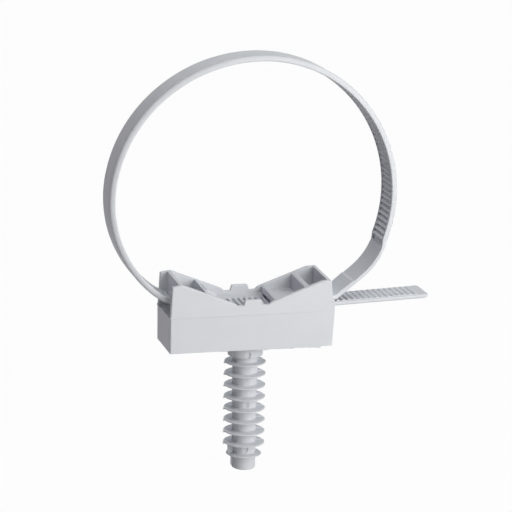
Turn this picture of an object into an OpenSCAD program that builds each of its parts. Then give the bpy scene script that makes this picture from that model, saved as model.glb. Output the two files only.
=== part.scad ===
// Push-in conduit clip, moulded in one piece: a saddle base, a finned plug that is
// pressed into a drilled hole, and a toothed strap. The strap grows out of the base's
// right end, goes round the conduit and comes back through the base, where a pawl
// holds its teeth.
// X runs along the base, Y along the conduit and Z away from the wall. The origin is
// where the plug's axis meets the base's underside.

/* [Base] */
// Length of the base at its underside
base_l = 40.2; // [36:0.1:46]
// Depth of the base, along the conduit
base_d = 14.6; // [13.4:0.1:18]
// Height of the strap channel's floor above the underside
floor_h = 8.5; // [6:0.25:11]
// Thickness of the front and back walls
wall_t = 1.15; // [0.8:0.05:1.4]
// Thickness of the cross ribs
rib_t = 1.1; // [0.8:0.05:1.5]
// Radius of the upright corners
corner_r = 0.35; // [0.1:0.05:0.6]
// How far the end faces lean in from the channel floor to the horns
end_lean = 0.45; // [0:0.05:0.8]
// How far the right end face leans in from the channel floor to the underside
foot_lean = 0.45; // [0:0.05:0.8]

/* [Saddle] */
// Height of the left horn above the channel floor
left_horn_h = 8.05; // [6.5:0.05:10]
// Height of the right horn above the channel floor
right_horn_h = 7.55; // [6.5:0.05:10]
// Distance of the left horn's peak from the base's left end
left_peak_x = 2.9; // [1.5:0.1:4]
// Length of the right horn's level top
right_top_l = 1.7; // [0.5:0.1:3]
// Size of the horns' cut corners
horn_cut = 0.5; // [0.2:0.05:0.8]
// Height of the notches beside the centre tab, above the channel floor
notch_h = 2.4; // [1.6:0.05:3.5]
// Distance from the middle to each notch's outer end
notch_x = 3.85; // [3:0.05:4.5]
// Rise of the short step where each slope meets its notch
notch_step = 0.55; // [0.2:0.05:1]
// Width of the centre tab at its foot
tab_w = 4.6; // [3:0.1:5]
// Height of the centre tab above the notches
tab_h = 1.35; // [0.5:0.05:2]
// How far each side of the tab leans in
tab_lean = 0.35; // [0:0.05:0.6]

/* [Cells] */
// Length of the open slot where the strap goes in, left of the first rib
entry_l = 2.2; // [1:0.1:3]
// Length of the cell between the two left ribs
left_cell_l = 5.5; // [4:0.1:6.5]
// Length of the cell beside the strap's window
middle_cell_l = 6.3; // [4:0.1:7]
// Length of the cell at the right end
right_cell_l = 4.4; // [3:0.1:5.5]
// Thickness of the right end wall at its foot
end_wall_t = 1.35; // [1:0.05:1.8]
// Thickness of the floor over the strap at the right end
floor_t = 0.75; // [0.6:0.05:1.5]
// Width of the ledge that the right end wall stands back from
shoulder_w = 0.5; // [0.2:0.05:0.8]
// Clear space between the ribs and the strap's teeth
rib_gap = 0.5; // [0.3:0.05:1]

/* [Strap] */
// Width of the strap
strap_w = 8.8; // [7:0.1:9.6]
// Thickness of the plain strap and of the web between the teeth
web_t = 0.7; // [0.56:0.02:0.8]
// Thickness of the strap at its side rails
rail_t = 1.3; // [1:0.05:1.4]
// Width of each side rail
rail_w = 1; // [0.5:0.05:1.5]
// Thickness of the strap at the tooth crests
tooth_t = 1.35; // [1.2:0.05:1.6]
// Thickness of the strap in the grooves between the teeth
groove_t = 0.86; // [0.82:0.02:1]
// Distance from tooth to tooth
tooth_pitch = 1.4; // [1:0.05:2]
// Length of each tooth's crest
crest_l = 0.25; // [0.1:0.05:0.5]
// Radius of the strap's outer edges
edge_r = 0.5; // [0.2:0.05:0.5]
// Radius of the loop's right side, which the loop's other radii follow
loop_r = 33.8; // [28:0.2:40]
// Distance left of the middle where the strap comes level
land_x = 5.7; // [4:0.1:8]
// Distance right of the middle where the strap begins to rise again
lift_x = 0.5; // [0:0.5:12]
// Slope of the tail
tail_lift = 2.1; // [1:0.1:4]
// Length of the tail past the base
tail_l = 24.5; // [10:0.5:60]
// Height of the tail's side rails over the web, where they are lower than on the loop
tail_rail_h = 0.1; // [0.05:0.01:0.25]
// Thickness of the tail at the tooth crests
tail_tooth_t = 1.1; // [1.05:0.05:1.2]
// Length of the smooth end of the tail
tail_plain_l = 2.5; // [1.5:0.1:6]
// Radius of the tail's end corners
tail_r = 0.8; // [0.3:0.1:1.4]
// Clear space under the strap in its channel
strap_gap = 0.15; // [0.1:0.05:0.3]
// Clear space on each side of the strap in its channel
side_gap = 0.3; // [0.15:0.05:0.4]
// Clear space between the teeth and the channel's roof at the right end
roof_gap = 0.16; // [0.1:0.01:0.5]

/* [Strap root] */
// Thickness of the strap where it leaves the base
root_t = 1; // [0.8:0.02:1.2]
// Radius of the bend at the root
root_bend_r = 2.5; // [2:0.1:5]
// Distance from the base to the crease where the root thins to the plain strap
crease_l = 7; // [4:0.1:9]
// Distance from the base to the start of the rails
plain_l = 17.6; // [12:0.2:24]
// Length over which the rails rise
ramp_l = 2.3; // [1:0.1:5]

/* [Pawl] */
// Width of the pawl
pawl_w = 6; // [3:0.1:6.6]
// Thickness of the pawl at its root
pawl_t = 1.9; // [1.2:0.1:2.4]
// How far the pawl reaches from its rib, to the nearest tooth
pawl_reach = 2.4; // [1.5:0.1:4]
// Clear space between the pawl's tip and the teeth
pawl_gap = 0.12; // [0.08:0.01:0.2]

/* [Plug] */
// Length of the plug
plug_l = 31.5; // [30.2:0.1:45]
// Radius of the core under the collar
core_r = 3; // [2.6:0.05:3.6]
// Radius of the core at its tip
tip_r = 2.78; // [2:0.02:3]
// Size of the tip's cut edge
tip_cut = 0.35; // [0.1:0.05:1]
// Radius of the collar
collar_r = 4.17; // [3.8:0.01:4.8]
// Length of the collar
collar_l = 3.2; // [2.2:0.1:4]
// Radius of the fins
fin_r = 4.92; // [4.3:0.01:6]
// Radius of the last, smaller fin
last_fin_r = 4.2; // [3.6:0.05:4.9]
// Thickness of the fins
fin_t = 0.4; // [0.25:0.05:0.8]
// Depth of the first fin's lower face under the base
fin_first = 4.94; // [4.6:0.02:6]
// Distance from fin to fin
fin_pitch = 2.89; // [2.2:0.01:2.95]
// Number of full-size fins
fin_count = 8; // [3:1:8]
// Thickness of the moulding's wing beside the last fins
wing_t = 0.6; // [0.3:0.05:1]
// How far the wing stands out from the core
wing_out = 1.2; // [0.5:0.1:1.4]
// How far the thin rib under the wing stands out from the core
rib_out = 0.4; // [0.2:0.05:0.8]
// Radius of the round moulding marks
mark_r = 0.75; // [0.4:0.05:0.9]
// Depth of the round moulding marks
mark_depth = 0.28; // [0.1:0.02:0.5]
// Distance of the marks from the plug's middle line
mark_x = -0.4; // [-0.8:0.05:0.8]

/* [Hidden] */
$fn = 96;
grey = [0.82, 0.83, 0.84];
overlap = 0.5;
// The strap is carried along its path in stretches. Every other one is a hair smaller all
// round and begins and ends a little way inside its neighbours, so that they join solidly.
hair = 0.02;
lap = 0.25;
// How deep the teeth are rooted in the web
tooth_bite = 0.2;
// How far down the collar its moulding mark lies, as a share of the collar's length
collar_mark = 0.7;

// Places along the base
left_x = -base_l / 2;
right_x = base_l / 2;
first_rib_x = left_x + entry_l;
left_cell_x = first_rib_x + rib_t;
second_rib_x = left_cell_x + left_cell_l;
middle_x = second_rib_x + rib_t;
end_face_x = right_x - shoulder_w;
right_cell_x1 = end_face_x - end_wall_t;
right_cell_x0 = right_cell_x1 - right_cell_l;
middle_cell_x1 = right_cell_x0 - rib_t;
middle_cell_x0 = middle_cell_x1 - middle_cell_l;
window_x = middle_cell_x0 - rib_t;

// Heights and half widths inside the base
strap_z = floor_h + strap_gap;
lift_r = (right_x - lift_x) / sin(tail_lift);
exit_z = strap_z + lift_r * (1 - cos(tail_lift));
root_z = exit_z + tooth_t / cos(tail_lift) + roof_gap;
cell_floor_z = root_z + floor_t;
channel_y = strap_w / 2 + side_gap;
inside_y = base_d / 2 - wall_t;
ledge_z = strap_z + rail_t - strap_gap;
top_z = floor_h + max(left_horn_h, right_horn_h) + overlap;

// The loop's arcs, from the root round to the channel. Each has its radius as a share
// of loop_r, and the direction of the outward normal where the next arc takes over.
LOOP = [[0.485, -25], [1, 90], [1.1, 134], [1.006, 169], [0.86, 230], [0.414, 247], [1.097, 270]];
LAST = len(LOOP) - 1;
function arc_r(k) = LOOP[k][0] * loop_r;
function toward(a) = [cos(a), sin(a)];
function arc_centre(k) = k == LAST
    ? [-land_x, strap_z + arc_r(k)]
    : arc_centre(k + 1) + (arc_r(k + 1) - arc_r(k)) * toward(LOOP[k][1]);

// The root leaves the base level, and its straight stretch is the tangent from its bend
// to the first arc
root_in = shoulder_w + overlap;
root_out = 0.3;
bend_centre = [right_x + root_out, root_z + root_bend_r];
root_way = arc_centre(0) - bend_centre;
root_angle = atan2(root_way.y, root_way.x) - asin((arc_r(0) - root_bend_r) / norm(root_way));
root_run = sqrt(norm(root_way) ^ 2 - (arc_r(0) - root_bend_r) ^ 2);

// The strap's outer face as stretches of [turn, radius, length], with radius 0 for a
// straight one, and the pose [x, z, heading] and distance at the start of each
function bend(turn, r) = [turn, r, r * turn * PI / 180];
function straight(l) = [0, 0, l];
STRETCHES = concat(
    [straight(root_in + root_out), bend(root_angle, root_bend_r), straight(root_run)],
    [for (k = [0:LAST]) bend(LOOP[k][1] - (k == 0 ? root_angle - 90 : LOOP[k - 1][1]), arc_r(k))],
    [straight(land_x + lift_x), bend(tail_lift, lift_r), straight(tail_l)]
);
function advance(p, stretch, d) = stretch[1] == 0
    ? [p.x + d * cos(p.z), p.y + d * sin(p.z), p.z]
    : let (r = stretch[1], a = p.z + d / r * 180 / PI)
      [p.x + r * (sin(a) - sin(p.z)), p.y + r * (cos(p.z) - cos(a)), a];
function pose_at(k) = k == 0
    ? [right_x - root_in, root_z, 0]
    : advance(pose_at(k - 1), STRETCHES[k - 1], STRETCHES[k - 1][2]);
function distance_at(k) = k == 0 ? -root_in : distance_at(k - 1) + STRETCHES[k - 1][2];
COUNT = len(STRETCHES);
POSES = [for (k = [0:COUNT]) pose_at(k)];
DISTANCES = [for (k = [0:COUNT]) distance_at(k)];
strap_end = DISTANCES[COUNT];
land_s = DISTANCES[COUNT - 3];

// Pose at distance s from the base, and the point that lies u inside the outer face
function stretch_at(s) = max([for (k = [0:COUNT - 1]) if (k == 0 || DISTANCES[k] <= s) k]);
function pose(s) = let (k = stretch_at(s)) advance(POSES[k], STRETCHES[k], s - DISTANCES[k]);
function inside(s, u) = let (p = pose(s)) [p.x - u * sin(p.z), p.y + u * cos(p.z)];

// Teeth: the first stands where the rails reach full height
teeth_s = plain_l + ramp_l;
tooth_count = floor((strap_end - tail_plain_l - teeth_s) / tooth_pitch);
teeth_end = teeth_s + tooth_count * tooth_pitch;
tail_s = strap_end - tail_r;
tooth_root = web_t - tooth_bite;

// The strap becomes thinner inside the base, under the middle cell
thin_s = land_s + land_x + middle_cell_x0;
tail_rail_t = web_t + tail_rail_h;
tail_plate_t = (tail_rail_t + tail_tooth_t) / 2;
function crest_at(s) = s < thin_s ? tooth_t : tail_tooth_t;

// Height of the tooth crests on the last arc, under the left ribs
function crest_z(x) = let (c = arc_centre(LAST), r = arc_r(LAST) - tooth_t) c.y - sqrt(r ^ 2 - (x - c.x) ^ 2);
first_rib_z = crest_z(first_rib_x) + rib_gap;
second_rib_z = crest_z(second_rib_x) + rib_gap;

// The pawl's tip stands against the steep face of the tooth nearest to its reach
pawl_tip_s = land_s + land_x + middle_x + pawl_reach;
pawl_s = teeth_s + tooth_pitch * round((pawl_tip_s - teeth_s) / tooth_pitch);

// Base

// Outline of the saddle, seen along the conduit
module saddle_outline() {
    left_top = floor_h + left_horn_h;
    right_top = floor_h + right_horn_h;
    notch_z = floor_h + notch_h;
    slope_x = notch_x + notch_step;
    slope_z = notch_z + notch_step;
    tab_z = notch_z + tab_h;
    horn_x = end_face_x - end_lean;
    polygon([
        [left_x, 0],
        [right_x - foot_lean, 0],
        [right_x, floor_h],
        [right_x, cell_floor_z],
        [end_face_x, cell_floor_z],
        [horn_x, right_top - horn_cut],
        [horn_x - horn_cut, right_top],
        [horn_x - horn_cut - right_top_l, right_top],
        [slope_x, slope_z],
        [notch_x, notch_z],
        [tab_w / 2, notch_z],
        [tab_w / 2 - tab_lean, tab_z],
        [-tab_w / 2 + tab_lean, tab_z],
        [-tab_w / 2, notch_z],
        [-notch_x, notch_z],
        [-slope_x, slope_z],
        [left_x + left_peak_x, left_top],
        [left_x + end_lean + horn_cut, left_top - horn_cut / 2],
        [left_x + end_lean, left_top - 1.5 * horn_cut],
        [left_x, floor_h],
    ]);
}

// Plan of the base with its rounded corners
module base_plan() {
    square([base_l - 2 * corner_r, base_d], center = true);
    square([base_l, base_d - 2 * corner_r], center = true);
    for (x = [-1, 1], y = [-1, 1])
        translate([x * (base_l / 2 - corner_r), y * (base_d / 2 - corner_r)])
            circle(corner_r);
}

module along_y(depth) {
    rotate([90, 0, 0])
        linear_extrude(depth, center = true)
            children();
}

// A pocket across the base between two places, from a height up to another
module pocket(x0, x1, z0, z1 = top_z, half = inside_y) {
    translate([x0, -half, z0])
        cube([x1 - x0, 2 * half, z1 - z0]);
}

// The open middle: a channel that fits the strap, with sloped ledges up to the walls
module middle_pocket() {
    ledge = inside_y - channel_y;
    translate([middle_x, 0, 0])
        rotate([90, 0, 90])
            linear_extrude(window_x - middle_x)
                polygon([
                    [-channel_y, floor_h],
                    [channel_y, floor_h],
                    [channel_y, ledge_z],
                    [inside_y, ledge_z + ledge / 2],
                    [inside_y, top_z],
                    [-inside_y, top_z],
                    [-inside_y, ledge_z + ledge / 2],
                    [-channel_y, ledge_z],
                ]);
}

module base() {
    difference() {
        intersection() {
            along_y(base_d) saddle_outline();
            linear_extrude(top_z) base_plan();
        }
        pocket(left_x - overlap, first_rib_x, floor_h);
        pocket(first_rib_x - overlap, left_cell_x + overlap, floor_h, first_rib_z);
        pocket(left_cell_x, second_rib_x, floor_h);
        pocket(second_rib_x - overlap, middle_x + overlap, floor_h, second_rib_z, channel_y);
        middle_pocket();
        pocket(window_x - overlap, right_x + overlap, floor_h, root_z, channel_y);
        pocket(middle_cell_x0, middle_cell_x1, cell_floor_z);
        pocket(right_cell_x0, right_cell_x1, cell_floor_z);
    }
}

// A tongue on the second rib whose tip stands in the strap's teeth
module pawl() {
    tip_s = pawl_s - pawl_gap;
    tip_low = inside(tip_s, groove_t + pawl_gap);
    tip_high = inside(tip_s, tooth_t + 2 * pawl_gap);
    heel = inside(pawl_s - tooth_pitch + crest_l, tooth_t + pawl_gap);
    top = second_rib_z + pawl_t;
    along_y(pawl_w)
        polygon([
            [middle_x - overlap, second_rib_z + lap],
            heel,
            tip_low,
            tip_high,
            [tip_high.x, top - pawl_t / 2],
            [tip_high.x - pawl_t / 4, top],
            [middle_x - overlap, top],
        ]);
}

// Strap

// Half of the rounded outer edge, from the face round to the side, in three points
function edge(side) = [for (a = [0:45:90])
    [edge_r * (1 - cos(a)), side * (strap_w / 2 - edge_r * (1 - sin(a)))]];
function reversed(list) = [for (i = [len(list) - 1:-1:0]) list[i]];

// A strap section of [inward, across] points, laid out at radius $r
module section(points) {
    polygon([for (p = points) [$r - p.x, p.y]]);
}

// The sections are smaller by $h all round
function outer_edge(side) = [for (p = edge(side)) [p.x + $h, p.y - side * $h]];

module plain_section(t) {
    side = strap_w / 2 - $h;
    section(concat(outer_edge(1), [[t - $h, side], [t - $h, -side]], reversed(outer_edge(-1))));
}

module railed_section(t) {
    side = strap_w / 2 - $h;
    rail_y = strap_w / 2 - rail_w + $h;
    section(concat(
        outer_edge(1),
        [[t - $h, side], [t - $h, rail_y], [web_t - $h, rail_y]],
        [[web_t - $h, -rail_y], [t - $h, -rail_y], [t - $h, -side]],
        reversed(outer_edge(-1))
    ));
}

// Carries a section along the strap from s0 to s1, stretch by stretch. The number of
// sections that come before it keeps full and smaller pieces in turn.
module carry(s0, s1, before) {
    for (k = [0:COUNT - 1]) {
        small = (k + before) % 2 == 0;
        from = max(s0, DISTANCES[k]);
        to = min(s1, DISTANCES[k + 1]);
        a = small ? from - lap : from;
        b = small ? to + lap : to;
        r = STRETCHES[k][1];
        p = advance(POSES[k], STRETCHES[k], a - DISTANCES[k]);
        if (to - from > 0.001)
            translate([p.x, 0, p.y])
                rotate([0, -p.z, 0])
                    let ($r = r, $h = small ? hair : 0)
                        if (r == 0)
                            rotate([0, 90, 0])
                                linear_extrude(b - a)
                                    children();
                        else
                            translate([0, 0, r])
                                rotate([90, 0, 0])
                                    rotate([0, 0, -90])
                                        rotate_extrude(angle = (b - a) / r * 180 / PI)
                                            children();
    }
}

// The row of teeth in the channel between the rails, steep toward the root
module teeth() {
    starts = [for (i = [0:tooth_count - 1]) teeth_s + i * tooth_pitch];
    crests = [for (s = starts) each [
        inside(s, groove_t),
        inside(s + crest_l / 4, crest_at(s)),
        inside(s + crest_l, crest_at(s)),
    ]];
    roots = [for (s = reversed(starts)) inside(s, tooth_root)];
    along_y(strap_w - 2 * rail_w + overlap)
        polygon(concat(crests, [inside(teeth_end, groove_t), inside(teeth_end, tooth_root)], roots));
}

// The wedges in which the rails rise from the plain strap
module rail_ramps() {
    steps = 4;
    rise = rail_t - hair - tooth_root;
    upper = [for (i = [0:steps]) inside(plain_l + ramp_l * i / steps, tooth_root + rise * i / steps)];
    lower = inside(teeth_s, web_t / 3);
    for (side = [-1, 1])
        translate([0, side * (strap_w - rail_w) / 2, 0])
            along_y(rail_w - hair)
                polygon(concat(upper, [lower]));
}

// The smooth end of the tail, with its corners rounded and its lower edge cut
module tail_end() {
    cut = tail_plate_t / 2;
    end = pose(strap_end);
    half_w = (strap_w - hair) / 2;
    intersection() {
        along_y(strap_w)
            polygon([
                inside(teeth_end, tooth_root),
                inside(tail_s - lap, tooth_root),
                inside(tail_s - lap, hair),
                inside(strap_end - cut, hair),
                inside(strap_end, cut),
                inside(strap_end, tail_plate_t),
                inside(teeth_end, tail_plate_t),
            ]);
        translate([end.x, 0, end.y])
            rotate([0, -end.z, 0])
                linear_extrude(2 * rail_t, center = true) {
                    translate([-tail_plain_l * 2, -half_w])
                        square([tail_plain_l * 2 - tail_r, 2 * half_w]);
                    translate([-tail_plain_l * 2, -half_w + tail_r])
                        square([tail_plain_l * 2, 2 * (half_w - tail_r)]);
                    for (side = [-1, 1])
                        translate([-tail_r, side * (half_w - tail_r)])
                            circle(tail_r);
                }
    }
}

module strap() {
    carry(-root_in, crease_l, 0) plain_section(root_t);
    carry(crease_l, teeth_s, 1) plain_section(web_t);
    carry(teeth_s, thin_s, 2) railed_section(rail_t);
    carry(thin_s, tail_s, 3) railed_section(tail_rail_t);
    rail_ramps();
    teeth();
    tail_end();
}

// Plug

// Radius of the tapered core at a depth under the base
function core_at(depth) = core_r + (tip_r - core_r) * (depth - collar_l) / (plug_l - collar_l);
function fin_depth(i) = fin_first + i * fin_pitch;

module plug_core() {
    collar_cut = collar_r - core_r;
    rotate_extrude()
        polygon([
            [0, overlap],
            [collar_r, overlap],
            [collar_r, -collar_l + collar_cut / 3],
            [collar_r - collar_cut / 3, -collar_l],
            [core_r, -collar_l],
            [tip_r, -plug_l + tip_cut],
            [tip_r - tip_cut, -plug_l],
            [0, -plug_l],
        ]);
}

module fins() {
    for (i = [0:fin_count - 1])
        translate([0, 0, -fin_depth(i)])
            cylinder(h = fin_t, r = fin_r);
    translate([0, 0, -fin_depth(fin_count)])
        cylinder(h = fin_t, r = last_fin_r);
}

// Flat wings left by the moulding on one side, past the last full fin
module wings() {
    upper = fin_depth(fin_count - 1);
    lower = fin_depth(fin_count);
    tip = plug_l - 2 * tip_cut;
    out = core_at(lower);
    translate([-out - wing_out, -wing_t / 2, -lower + fin_t / 2])
        cube([out + wing_out, wing_t, lower - upper]);
    translate([-out - rib_out, -wing_t / 2, -tip])
        cube([out + rib_out, wing_t, tip - lower + fin_t / 2]);
}

// Round sunk marks on the front, one on the collar and two on the core
module marks() {
    places = [
        [collar_mark * collar_l, collar_r],
        [fin_depth(3.5) - fin_t / 2, core_at(fin_depth(3.5))],
        [fin_depth(7.4), core_at(fin_depth(7.4))],
    ];
    for (p = places)
        translate([mark_x, -p[1] + mark_depth, -p[0]])
            rotate([90, 0, 0])
                cylinder(h = mark_depth + overlap, r = mark_r);
}

module plug() {
    difference() {
        plug_core();
        marks();
    }
    fins();
    wings();
}

module conduit_clip() {
    color(grey) {
        base();
        pawl();
        strap();
        plug();
    }
}

conduit_clip();
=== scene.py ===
# %% [markdown]
# # A push-in conduit clip
# The clip is one grey nylon moulding: a saddle base, a finned plug under it that is pressed
# into a drilled hole, and a toothed strap that goes round the conduit and back through the
# base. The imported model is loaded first, as the fixed frame that the looks are built around.

# %% Frame
import math
import random

import bmesh
import bpy
import numpy as np
from mathutils import Matrix, Vector


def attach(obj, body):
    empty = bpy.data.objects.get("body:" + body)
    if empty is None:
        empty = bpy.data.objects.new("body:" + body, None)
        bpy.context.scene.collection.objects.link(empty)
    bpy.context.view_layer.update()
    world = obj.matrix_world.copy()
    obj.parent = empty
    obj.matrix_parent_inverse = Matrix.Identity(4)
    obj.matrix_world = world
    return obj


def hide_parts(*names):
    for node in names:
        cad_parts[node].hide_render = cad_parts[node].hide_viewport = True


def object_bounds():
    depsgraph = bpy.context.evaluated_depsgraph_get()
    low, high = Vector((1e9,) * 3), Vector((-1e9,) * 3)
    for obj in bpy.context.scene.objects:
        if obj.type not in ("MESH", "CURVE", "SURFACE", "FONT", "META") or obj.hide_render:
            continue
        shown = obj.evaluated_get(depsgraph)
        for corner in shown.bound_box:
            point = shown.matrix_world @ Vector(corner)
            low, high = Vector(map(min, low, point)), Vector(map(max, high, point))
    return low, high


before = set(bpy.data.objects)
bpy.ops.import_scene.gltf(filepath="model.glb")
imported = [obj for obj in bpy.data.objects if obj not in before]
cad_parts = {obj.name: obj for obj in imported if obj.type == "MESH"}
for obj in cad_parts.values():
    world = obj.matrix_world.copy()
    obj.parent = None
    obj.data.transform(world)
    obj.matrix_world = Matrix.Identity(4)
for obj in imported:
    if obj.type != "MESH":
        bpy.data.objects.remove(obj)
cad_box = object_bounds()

MM = 0.001
print("CAD box, mm:", [[round(x / MM, 2) for x in corner] for corner in cad_box])

# %% [markdown]
# ## Camera
# A photograph of a small object is usually taken with a long lens from a little above. The
# place of the camera was found by lining up the base's corners, the plug's fins and the
# loop with the picture. A camera is set here from three angles, a focal length in
# pixels and the shift of the aim, which keeps the numbers readable.

# %% Camera
VIEW_AZIMUTH = 14.837
VIEW_ELEVATION = 13.546
VIEW_ROLL = 1.004
FOCAL_PX = 2358.2
FRAME_PX = 512
SENSOR = 36
AIM_RIGHT, AIM_UP, AIM_BACK = 2.565, 20.633, 566.474


def view_axes():
    azimuth, elevation, roll = (math.radians(a) for a in (VIEW_AZIMUTH, VIEW_ELEVATION, VIEW_ROLL))
    flat = math.cos(elevation)
    back = Vector((-math.sin(azimuth) * flat, -math.cos(azimuth) * flat, math.sin(elevation)))
    right = Vector((math.cos(azimuth), -math.sin(azimuth), 0))
    up = back.cross(right)
    return (
        right * math.cos(roll) + up * math.sin(roll),
        up * math.cos(roll) - right * math.sin(roll),
        back,
    )


scene = bpy.context.scene
right, up, back = view_axes()
camera_data = bpy.data.cameras.new("camera")
camera_data.sensor_width = SENSOR
camera_data.lens = FOCAL_PX / FRAME_PX * SENSOR
camera_data.clip_start = 0.01
camera = bpy.data.objects.new("camera", camera_data)
camera.matrix_world = Matrix.Translation(
    (right * AIM_RIGHT + up * AIM_UP + back * AIM_BACK) * MM
) @ Matrix((right, up, back)).transposed().to_4x4()
scene.collection.objects.link(camera)
scene.camera = camera
print("lens, mm:", round(camera_data.lens, 1))

# %% [markdown]
# ## Lamps
# The picture has one near, soft light from the front and right, a little above. A weaker one
# from above opens the cells, and wide ones at the left and behind lift the sides that face
# away. A lamp's energy is written as a level: at level 1 a surface that faces the lamp shows
# its own colour.

# %% Lamps
LAMP_AIM = Vector((5, 0, 20)) * MM


def soft_lamp(name, azimuth, elevation, distance, size, level, colour):
    """A disk lamp; its azimuth is counted to the right from straight in front."""
    lamp = bpy.data.lights.new(name, "AREA")
    lamp.shape = "DISK"
    lamp.size = size
    lamp.energy = level * (math.pi * distance) ** 2
    lamp.color = colour
    holder = bpy.data.objects.new(name, lamp)
    turn, rise = math.radians(azimuth), math.radians(elevation)
    flat = math.cos(rise)
    direction = Vector((math.sin(turn) * flat, -math.cos(turn) * flat, math.sin(rise)))
    holder.location = LAMP_AIM + direction * distance
    holder.rotation_euler = direction.to_track_quat("Z", "Y").to_euler()
    scene.collection.objects.link(holder)
    print(name, "energy, W:", round(lamp.energy, 2))


soft_lamp(
    "key light", azimuth=32, elevation=14, distance=0.45, size=0.4, level=1.01, colour=(1.0, 0.98, 0.97),
)
soft_lamp(
    "top light", azimuth=0, elevation=60, distance=1.0, size=0.6, level=0.28, colour=(1.0, 0.985, 0.95),
)
soft_lamp(
    "left light", azimuth=-115, elevation=20, distance=1.0, size=1.0, level=0.112, colour=(1.0, 0.84, 1.0),
)
soft_lamp(
    "back light", azimuth=180, elevation=40, distance=1.0, size=0.8, level=0.29, colour=(0.92, 0.975, 1.0),
)

# %% [markdown]
# ## White surround and floor
# The background looks white to the camera and in reflections, but gives next to no light, so
# that the grooves between the teeth stay dark. The floor lets the camera see through it to
# that white, and mixes in a little of its own shading, so that the shadow stays. A floor that
# glows white would look the same, but it would count as one more lamp, a very large one, and
# the picture would get grainy.

# %% White surround and floor
SURROUND_LIGHT = (0.008, 0.008, 0.008, 1)
FLOOR_GREY = (0.62, 0.62, 0.62, 1)
FLOOR_GAP, FLOOR_HALF, FLOOR_CLEAR = 0.05 * MM, 6, 0.97


def node(tree, kind, inputs=None, **settings):
    """A new node with its settings, its values and its links; returns the node."""
    made = tree.nodes.new(kind)
    for name, value in settings.items():
        setattr(made, name, value)
    for key, value in (inputs or {}).items():
        if isinstance(value, bpy.types.NodeSocket):
            tree.links.new(value, made.inputs[key])
        else:
            made.inputs[key].default_value = value
    return made


def math_node(tree, operation, *values, clamp=False):
    inputs = dict(enumerate(values))
    return node(tree, "ShaderNodeMath", inputs, operation=operation, use_clamp=clamp).outputs[0]


def seen_directly(tree):
    """1 for rays from the camera, in mirrors and through glass, and 0 for the rest."""
    path = node(tree, "ShaderNodeLightPath")
    rays = [path.outputs[n] for n in ("Is Camera Ray", "Is Glossy Ray", "Is Transmission Ray")]
    return math_node(tree, "MAXIMUM", math_node(tree, "MAXIMUM", rays[0], rays[1]), rays[2])


def mixed(tree, share, first, second):
    """The colours' mix; a Mix node keeps its colour sockets at places 6, 7 and 2."""
    return node(tree, "ShaderNodeMix", {0: share, 6: first, 7: second}, data_type="RGBA").outputs[2]


def white_surround(light):
    """A world that gives this light and looks white."""
    world = bpy.data.worlds.new("studio")
    world.use_nodes = True
    tree = world.node_tree
    tree.nodes.clear()
    colour = mixed(tree, seen_directly(tree), light, (1, 1, 1, 1))
    sky = node(tree, "ShaderNodeBackground", {"Color": colour, "Strength": 1.0})
    node(tree, "ShaderNodeOutputWorld", {"Surface": sky.outputs[0]})
    scene.world = world


def pale_floor(height):
    """A floor that the camera sees through almost wholly, and that still takes the shadow."""
    half = FLOOR_HALF
    corners = [(x, y, height) for x, y in ((-half, -half), (half, -half), (half, half), (-half, half))]
    mesh = bpy.data.meshes.new("floor")
    mesh.from_pydata(corners, [], [(0, 1, 2, 3)])
    floor = bpy.data.objects.new("floor", mesh)
    scene.collection.objects.link(floor)
    paint = bpy.data.materials.new("white floor")
    paint.use_nodes = True
    tree = paint.node_tree
    tree.nodes.clear()
    shaded = node(tree, "ShaderNodeBsdfDiffuse", {"Color": FLOOR_GREY})
    clear = node(tree, "ShaderNodeBsdfTransparent")
    share = math_node(tree, "MULTIPLY", seen_directly(tree), FLOOR_CLEAR)
    mix = node(tree, "ShaderNodeMixShader", {0: share, 1: shaded.outputs[0], 2: clear.outputs[0]})
    node(tree, "ShaderNodeOutputMaterial", {"Surface": mix.outputs[0]})
    mesh.materials.append(paint)
    print("floor height, mm:", round(height / MM, 2))


white_surround(SURROUND_LIGHT)
pale_floor(cad_box[0][2] - FLOOR_GAP)
scene.view_settings.view_transform = "Standard"

# %% [markdown]
# ## Nylon
# Light grey nylon has a satin skin: the mould leaves a very fine grain, the melt leaves
# faint clouds a few millimetres wide, and handling leaves a few dull scuffs. All of it comes
# from noise on Object coordinates, so that it stays in place from every side.

# %% Nylon material
NYLON = (0.645, 0.67, 0.706, 1)
NYLON_CLOUD = (0.615, 0.64, 0.675, 1)
CLOUD_SCALE, STREAK_SCALE, GRAIN_SCALE, SCUFF_SCALE = 170, 900, 5200, 420


def noise(tree, place, scale, detail=2.0, roughness=0.5):
    inputs = {"Vector": place, "Scale": scale, "Detail": detail, "Roughness": roughness}
    return node(tree, "ShaderNodeTexNoise", inputs).outputs["Fac"]


def spread(tree, value, low, high, to_low=0.0, to_high=1.0):
    inputs = {0: value, 1: low, 2: high, 3: to_low, 4: to_high}
    return node(tree, "ShaderNodeMapRange", inputs).outputs[0]


def bump(tree, height, strength, depth, **more):
    inputs = {"Strength": strength, "Distance": depth * MM, "Height": height, **more}
    return node(tree, "ShaderNodeBump", inputs).outputs[0]


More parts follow.
